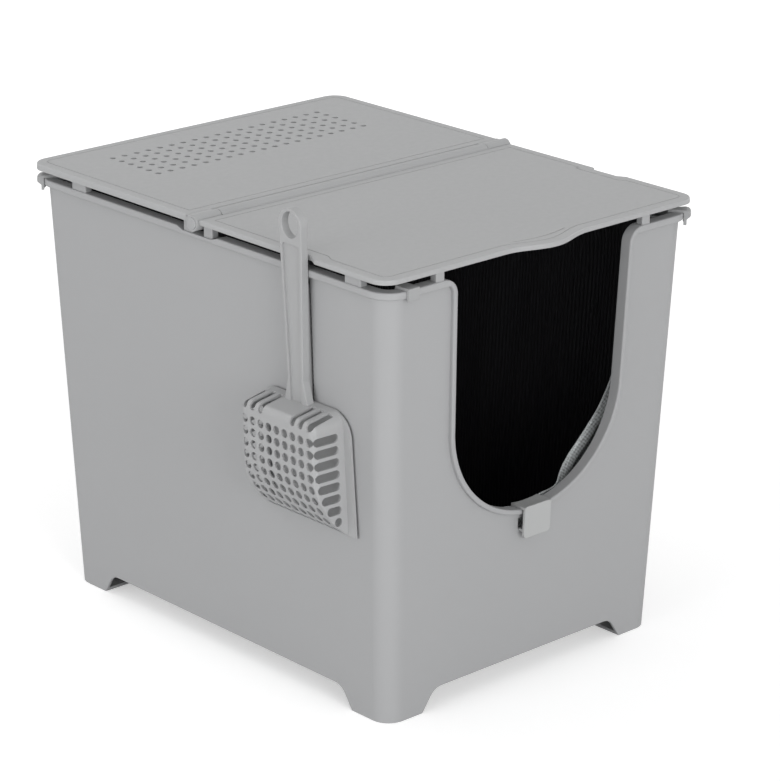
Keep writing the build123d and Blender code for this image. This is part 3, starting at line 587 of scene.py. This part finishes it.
foot = hang(foot_s, np.full(len(foot_s), wall_low), np.zeros(len(foot_s)))
_, foot_out = loop_point(foot_s)
quarter = np.linspace(0, pi / 2, BEND_ROWS + 1)[1:]
bend_in = LOW_BEND_R * (1 - np.cos(quarter))
bend_rows = np.stack([np.concatenate([foot[:, :2] - b * foot_out,
                                      np.full((len(foot), 1), wall_low - LOW_BEND_R * sin(q))], -1)
                      for b, q in zip(bend_in, quarter)], 1)
floor_edge = bend_rows[:, -1]
spine_half = STRAIGHT_Y - STRAIGHT_X
spine = np.stack([np.zeros(len(foot)), np.clip(floor_edge[:, 1], -spine_half, spine_half),
                  np.full(len(foot), LOW_Z)], -1)
inwards = np.linspace(0, 1, FLOOR_ROWS + 1)[None, 1:, None]
floor_rows = floor_edge[:, None] * (1 - inwards) + spine[:, None] * inwards
ripple = np.sin(floor_rows[..., 0] / RIPPLE_X) * np.cos(floor_rows[..., 1] / RIPPLE_Y)
ripple = RIPPLE_IN * (1 + ripple)
floor_rows[..., 2] += ripple * np.sin(pi * inwards[..., 0]) ** 2
liner_grid = np.concatenate([wall, bend_rows, floor_rows], 1)
print("liner grid:", liner_grid.shape[:2])

# %% [markdown]
# The grid becomes one mesh.  Its UV map holds the distance along the hem and the distance down the
# cloth itself, so that threads and ribs keep their size where the cloth bends.


# %% Make the liner's mesh
def grid_mesh(name, grid, uv, closed_across=False):
    """Mesh of an array of points in mm, shape (columns, rows, 3); the columns close in a ring.

    uv(i, j) gives the place on the cloth of column i and row j; closed_across closes the rows too.
    """
    columns, rows = grid.shape[:2]
    i, j = np.meshgrid(np.arange(columns), np.arange(rows if closed_across else rows - 1),
                       indexing="ij")
    after_i, after_j = (i + 1) % columns, (j + 1) % rows
    quads = np.stack([i * rows + j, i * rows + after_j, after_i * rows + after_j,
                      after_i * rows + j], -1).reshape(-1, 4)
    mesh = bpy.data.meshes.new(name)
    mesh.from_pydata(grid.reshape(-1, 3) * MM + MIDDLE, [], quads)
    places = np.stack([uv(i, j), uv(i, j + 1), uv(i + 1, j + 1), uv(i + 1, j)], -2)
    layer = mesh.uv_layers.new(name="cloth")
    layer.uv.foreach_set("vector", places.reshape(-1).astype(np.float32))
    mesh.shade_smooth()
    piece = bpy.data.objects.new(name, mesh)
    bpy.context.scene.collection.objects.link(piece)
    return piece


def merge_doubles(piece, within_mm):
    """Joins points that lie no further than within_mm apart."""
    work = bmesh.new()
    work.from_mesh(piece.data)
    bmesh.ops.remove_doubles(work, verts=work.verts, dist=within_mm * MM)
    work.to_mesh(piece.data)
    work.free()


MERGE_WITHIN = 0.2
step_len = np.linalg.norm(np.diff(liner_grid, axis=1), axis=-1)
fallen = np.concatenate([np.zeros((len(edge_s), 1)), np.cumsum(step_len, 1)], 1)
cloth_s = np.concatenate([wall_s, np.repeat(foot_s[:, None], BEND_ROWS + FLOOR_ROWS, 1)], 1)
cloth_s = np.concatenate([cloth_s, cloth_s[:1] + LOOP])
cloth_z = np.concatenate([edge_z[:, None] - fallen, (edge_z[:, None] - fallen)[:1]])


def liner_uv(i, j):
    """Metres along and up the cloth at column i and row j."""
    return np.stack([cloth_s[i, j], cloth_z[i, j]], -1) * MM


liner = grid_mesh("liner_cloth", liner_grid, liner_uv)
merge_doubles(liner, MERGE_WITHIN)

# %% [markdown]
# The sheet is given its thickness by a Solidify modifier.  The skin that it adds on the inner side
# takes the second material, so one sheet is silver outside and black inside.

# %% Thickness and finish of the liner
CLOTH_T = 1.3
thick = liner.modifiers.new("thickness", "SOLIDIFY")
thick.thickness = CLOTH_T * MM
thick.offset = -1.0
thick.use_even_offset = False
thick.material_offset = 1
thick.material_offset_rim = 0
for material in (outside_cloth, inside_cloth):
    liner.data.materials.append(material)
print("liner is", CLOTH_T, "mm thick")

# %% [markdown]
# A tape is sewn over the raw edge.  It is an oval carried along the edge: at each point the oval
# stands in the plane of the outward direction and of the direction across the edge.

# %% Hem tape
TAPE_HALF_T = 0.95
TAPE_HALF_W = 1.2
TAPE_SIDES = 10


def tape_along(line, out, half_t, half_w, sides):
    """Oval tube on a closed line: centre + half_t cos(a) out + half_w sin(a) across."""
    along = np.roll(line, -1, 0) - np.roll(line, 1, 0)
    along /= np.linalg.norm(along, axis=1, keepdims=True)
    out = out - (out * along).sum(1, keepdims=True) * along
    out /= np.linalg.norm(out, axis=1, keepdims=True)
    across = np.cross(along, out)
    a = np.linspace(0, 2 * pi, sides, endpoint=False)
    return (line[:, None] + half_t * np.cos(a)[None, :, None] * out[:, None]
            + half_w * np.sin(a)[None, :, None] * across[:, None])


_, hem_out = loop_point(edge_s)
hem_out = np.concatenate([hem_out, np.zeros((len(hem_out), 1))], -1)
tape_line = wall[:, 0] - hem_out * CLOTH_T / 2
tape_grid = tape_along(tape_line, hem_out, TAPE_HALF_T, TAPE_HALF_W, TAPE_SIDES)
tape_far = np.cumsum(np.linalg.norm(np.diff(tape_line, axis=0), axis=1))
tape_far = np.concatenate([[0], tape_far, tape_far[-1:] + EDGE_STEP])


def tape_uv(i, j):
    """Metres along the tape and round it."""
    return np.stack([tape_far[i], j * 2 * pi * TAPE_HALF_W / TAPE_SIDES], -1) * MM


tape = grid_mesh("liner_hem", tape_grid, tape_uv, closed_across=True)
tape.data.materials.append(hem_cloth)
print("hem tape:", round(tape_far[-1]), "mm long")

# %% [markdown]
# The cloth and its tape ride on the bucket and take the place of the frame's liner, which is
# hidden.

# %% Attach the cloth to the bucket
for piece in (liner, tape):
    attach(piece, "bucket")
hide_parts("liner")

# %% [markdown]
# ## Studio
# A pale floor carries the object and its shadow.  Only for the camera's own rays does the floor
# glow, so the picture's ground is white while the object gets no extra light.  The lamps reach the
# floor less the further it is from the object, so there the glow grows to make up for them.

# %% Floor and world
FLOOR_R = 14.0
FLOOR_RINGS, FLOOR_SPOKES = 12, 96
FLOOR_COLOUR = (0.8, 0.8, 0.8, 1)
FLOOR_ROUGHNESS, FLOOR_SHINE = 0.9, 0.1
# Distances in metres between which the glow grows, and its strengths there.
GLOW_FROM, GLOW_TO = 1.0, 3.5
GLOW_NEAR, GLOW_FAR = 0.42, 0.8
WHITE = (1, 1, 1, 1)
SKY = 0.58


def disc(name, radius, rings, spokes):
    """Flat disc: point (ring i, spoke j) is radius (i / rings)^2 from the middle.

    It lies at the angle 2 pi j / spokes, and i runs from 1 to rings.
    """
    r = radius * (np.linspace(0, 1, rings + 1)[1:] ** 2)[:, None]
    a = np.linspace(0, 2 * pi, spokes, endpoint=False)[None, :]
    points = np.stack([r * np.cos(a), r * np.sin(a), 0 * r * a], -1).reshape(-1, 3)
    i, j = np.meshgrid(np.arange(rings - 1), np.arange(spokes), indexing="ij")
    after = (j + 1) % spokes
    quads = np.stack([i * spokes + j, (i + 1) * spokes + j, (i + 1) * spokes + after,
                      i * spokes + after], -1).reshape(-1, 4)
    mesh = bpy.data.meshes.new(name)
    mesh.from_pydata(points, [], [*quads.tolist(), list(range(spokes))])
    piece = bpy.data.objects.new(name, mesh)
    bpy.context.scene.collection.objects.link(piece)
    return piece


floor = disc("floor", FLOOR_R, FLOOR_RINGS, FLOOR_SPOKES)
floor_finish = bpy.data.materials.new("studio_floor")
floor_finish.use_nodes = True
floor_tree = floor_finish.node_tree
matt = floor_tree.nodes["Principled BSDF"]
matt.inputs["Base Color"].default_value = FLOOR_COLOUR
matt.inputs["Roughness"].default_value = FLOOR_ROUGHNESS
matt.inputs["Specular IOR Level"].default_value = FLOOR_SHINE
on_floor = add_node(floor_tree, "ShaderNodeTexCoord").outputs["Object"]
far = add_node(floor_tree, "ShaderNodeVectorMath", {"operation": "LENGTH"}, i0=on_floor)
glow = add_node(floor_tree, "ShaderNodeEmission", Color=WHITE,
                Strength=rescale(floor_tree, far.outputs["Value"], GLOW_FROM, GLOW_TO, GLOW_NEAR,
                                 GLOW_FAR))
both = add_node(floor_tree, "ShaderNodeAddShader", i0=matt.outputs[0], i1=glow.outputs[0])
seen = add_node(floor_tree, "ShaderNodeLightPath").outputs["Is Camera Ray"]
choice = add_node(floor_tree, "ShaderNodeMixShader", i0=seen, i1=matt.outputs[0],
                  i2=both.outputs[0])
floor_tree.links.new(choice.outputs[0], floor_tree.nodes["Material Output"].inputs["Surface"])
floor.data.materials.append(floor_finish)

world = bpy.data.worlds.new("studio")
bpy.context.scene.world = world
world.use_nodes = True
world_tree = world.node_tree
world_tree.nodes.clear()
path = add_node(world_tree, "ShaderNodeLightPath").outputs
mirrored = maths(world_tree, "MAXIMUM", path["Is Glossy Ray"], path["Is Transmission Ray"])
shown = maths(world_tree, "MAXIMUM", path["Is Camera Ray"], mirrored)
sky = add_node(world_tree, "ShaderNodeBackground", Color=WHITE,
               Strength=rescale(world_tree, shown, 0.0, 1.0, SKY, 1.0))
world_out = add_node(world_tree, "ShaderNodeOutputWorld")
world_tree.links.new(sky.outputs[0], world_out.inputs["Surface"])
print("floor radius", FLOOR_R, "m, sky strength", SKY)

# %% [markdown]
# ## Light
# Four large lamps stand round the object, so its shadows are soft.  The front lamp is the
# strongest and stands low, the rear one looks over the back, and the two at the sides keep each
# wall at much the same tone.

# %% Lamps
LAMPS_AIM = (0, 0, 0.25)


def lamp(name, place, power, size):
    """Square soft lamp at a place in metres that faces the middle of the box."""
    light = bpy.data.lights.new(name, "AREA")
    light.energy, light.size = power, size
    piece = bpy.data.objects.new(name, light)
    bpy.context.scene.collection.objects.link(piece)
    turned = (Vector(LAMPS_AIM) - Vector(place)).to_track_quat("-Z", "Y").to_matrix().to_4x4()
    piece.matrix_world = Matrix.Translation(place) @ turned
    return piece


lamp("lamp_left", (-3.7, 0.0, 0.9), power=40.0, size=2.0)
lamp("lamp_rear", (-0.6, 3.4, 3.2), power=30.0, size=2.2)
lamp("lamp_front", (-1.0, -3.9, 1.2), power=69.0, size=2.0)
lamp("lamp_right", (3.7, 0.3, 0.9), power=18.0, size=2.0)
bpy.context.scene.view_settings.view_transform = "Standard"
print("four soft lamps")
